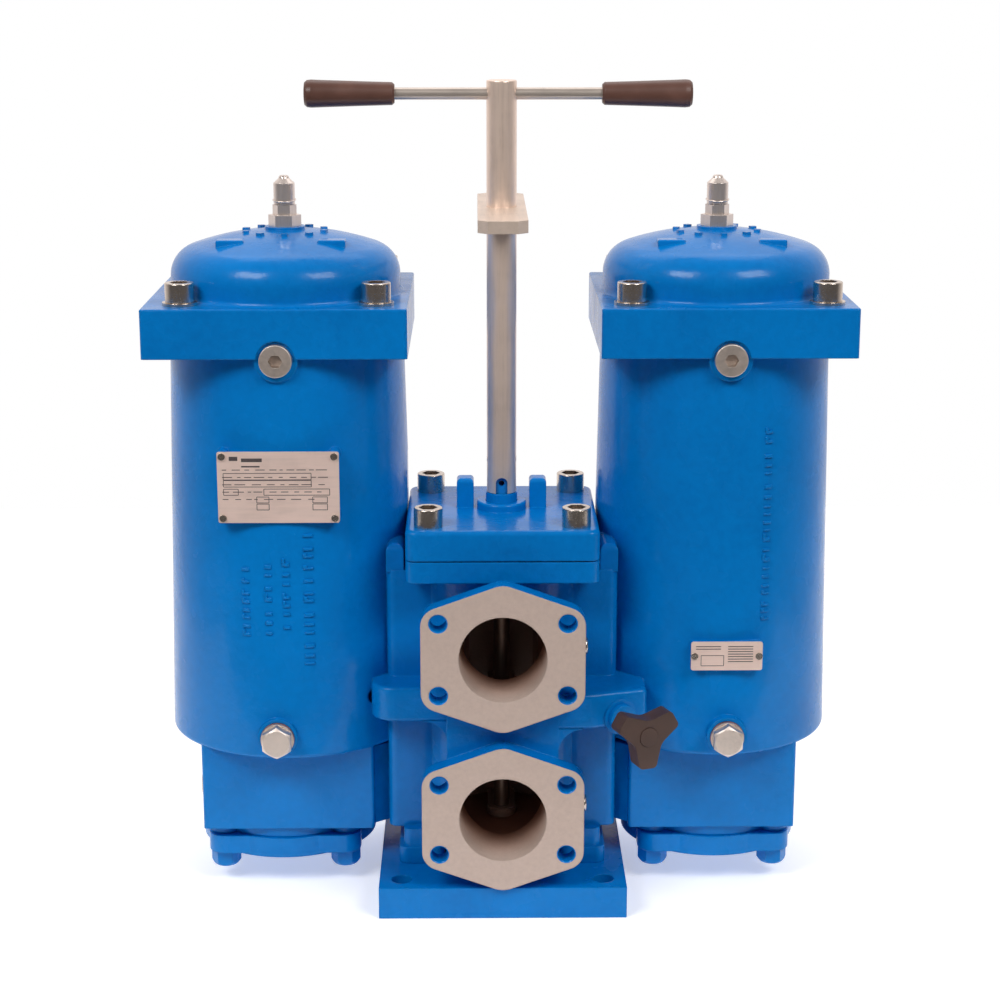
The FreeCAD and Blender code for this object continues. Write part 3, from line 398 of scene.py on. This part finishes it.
def plate_marks(name, centre, boxes, bars):
    """Printed outlines and plain bars on a plate, a hair proud of it."""
    bm = bmesh.new()
    x0, y, z0 = centre
    for left, low, wide, high in boxes:
        for dx, dz, w, h in ((wide / 2, 0, wide, INK_LINE), (wide / 2, high, wide, INK_LINE),
                             (0, high / 2, INK_LINE, high), (wide, high / 2, INK_LINE, high)):
            brick(bm, (x0 + left + dx, y, z0 + low + dz), (w, INK_DEPTH, h))
    for left, low, wide, high in bars:
        brick(bm, (x0 + left + wide / 2, y, z0 + low + high / 2), (wide, INK_DEPTH, high))
    return piece(name, bm, "ink", BODY)


cast_marks("cast_marks_left", -1, [(0.0215, 0.214, 0.330, 0.0105), (0.003, 0.245, 0.305, 0.0075),
                                   (-0.012, 0.240, 0.300, 0.0075), (-0.031, 0.238, 0.300, 0.0085)], 3)
cast_marks("cast_marks_right", 1, [(0.0375, 0.249, 0.411, 0.0085)], 8)
for side, sign in SIDES:
    wire_loop(side, sign)

rng = random.Random(21)
BOXES = [(-0.045, 0.0065, 0.072, 0.0055), (-0.045, 0.0005, 0.072, 0.0055)]
BOXES += [(-0.012, -0.0065, 0.054, 0.0052), (-0.045, -0.0065, 0.012, 0.0052)]
BOXES += [(0.028, -0.0130 - 0.006 * i, 0.012, 0.0050) for i in range(2)]
BOXES += [(-0.018, -0.0130 - 0.006 * i, 0.010, 0.0050) for i in range(2)]
BARS = [(-0.030, 0.0215, 0.017, 0.0030), (-0.030, 0.0170, 0.015, 0.0012), (-0.040, 0.0225, 0.007, 0.0035)]
for row in range(5):
    left = -0.046
    while left < 0.034:
        wide = rng.uniform(0.0025, 0.009)
        BARS.append((left, 0.0145 - 0.0062 * row, wide, 0.0006))
        left += wide + rng.uniform(0.0015, 0.006)
plate_marks("nameplate_marks", (-0.184, -0.07104, 0.368), BOXES, BARS)
SMALL = [(-0.026 + 0.027 * (i % 2), 0.008 - 0.0022 * (i // 2), 0.021, 0.0007) for i in range(14)]
plate_marks("instruction_marks", (0.188, -0.07304, 0.222), [(-0.0215, -0.0085, 0.019, 0.009)],
            [bar for bar in SMALL if not (bar[0] < 0 and bar[1] < 0.004)])


# ---------------------------------------------------------------- stage, light, camera

def floor():
    """Pale flat floor under the object; the world beyond it is white."""
    bm = bmesh.new()
    bm.faces.new([bm.verts.new((x, y, -FLOOR_DROP)) for x, y in FLOOR_CORNERS])
    mesh = bpy.data.meshes.new("floor")
    bm.to_mesh(mesh)
    bm.free()
    made = bpy.data.objects.new("floor", mesh)
    bpy.context.scene.collection.objects.link(made)
    shader = Shader("pale_floor")
    cloud = shader.noise(3, 2)
    shader.set(Specular_IOR_Level=0.1, Emission_Color=(1, 0.98, 0.97, 1), Emission_Strength=0.42)
    mesh.materials.append(shader.finish(shader.ramp(cloud, [(0.3, (0.86, 0.86, 0.86)), (0.7, (0.9, 0.9, 0.9))]),
                                        shader.grey(cloud, 0, 1, 0.7, 0.8)))


def lamp(name, place, target, size, power):
    light = bpy.data.lights.new(name, "AREA")
    light.shape = "RECTANGLE"
    light.size, light.size_y = size
    light.energy = power
    made = bpy.data.objects.new(name, light)
    bpy.context.scene.collection.objects.link(made)
    made.location = place
    made.rotation_euler = (Vector(target) - Vector(place)).to_track_quat("-Z", "Y").to_euler()


def studio():
    """White to the camera; to the object, dark in front and below, pale above and behind."""
    world = bpy.data.worlds.new("studio")
    world.use_nodes = True
    tree = world.node_tree
    ground = tree.nodes["Background"]
    ground.inputs[0].default_value = (1, 0.95, 0.935, 1)
    coords = tree.nodes.new("ShaderNodeTexCoord")
    split = tree.nodes.new("ShaderNodeSeparateXYZ")
    tree.links.new(coords.outputs["Generated"], split.inputs[0])
    back = tree.nodes.new("ShaderNodeMapRange")
    for key, value in zip(("From Min", "From Max", "To Min", "To Max"), (-0.35, 0.7, 0.10, 0.95)):
        back.inputs[key].default_value = value
    tree.links.new(split.outputs[1], back.inputs["Value"])
    sky = tree.nodes.new("ShaderNodeMapRange")
    for key, value in zip(("From Min", "From Max", "To Min", "To Max"), (0.1, 0.9, 0.0, 0.22)):
        sky.inputs[key].default_value = value
    tree.links.new(split.outputs[2], sky.inputs["Value"])
    both = tree.nodes.new("ShaderNodeMath")
    both.operation = "MAXIMUM"
    tree.links.new(back.outputs[0], both.inputs[0])
    tree.links.new(sky.outputs[0], both.inputs[1])
    tree.links.new(both.outputs[0], ground.inputs[1])
    backdrop = tree.nodes.new("ShaderNodeBackground")
    backdrop.inputs[0].default_value = (1, 1, 1, 1)
    path = tree.nodes.new("ShaderNodeLightPath")
    choose = tree.nodes.new("ShaderNodeMixShader")
    tree.links.new(path.outputs["Is Camera Ray"], choose.inputs[0])
    tree.links.new(ground.outputs[0], choose.inputs[1])
    tree.links.new(backdrop.outputs[0], choose.inputs[2])
    tree.links.new(choose.outputs[0], tree.nodes["World Output"].inputs["Surface"])
    bpy.context.scene.world = world


floor()
MIDDLE = (0, 0, 0.35)
lamp("key", (-1.3, -1.5, 2.0), MIDDLE, (1.1, 0.8), 34)
lamp("fill", (1.3, -1.5, 2.0), MIDDLE, (1.1, 0.8), 30)
lamp("top", (0, 1.0, 2.3), MIDDLE, (2.0, 1.2), 8)
studio()
bpy.context.scene.view_settings.view_transform = "Standard"

lens = bpy.data.cameras.new("camera")
lens.sensor_width = 36
lens.lens = 78.2
lens.clip_start = 0.05
camera = bpy.data.objects.new("camera", lens)
bpy.context.scene.collection.objects.link(camera)
camera.location = (-0.0213, -1.8044, 0.7935)
camera.rotation_euler = (math.radians(90 - 14.135), 0, math.radians(-0.635))
bpy.context.scene.camera = camera
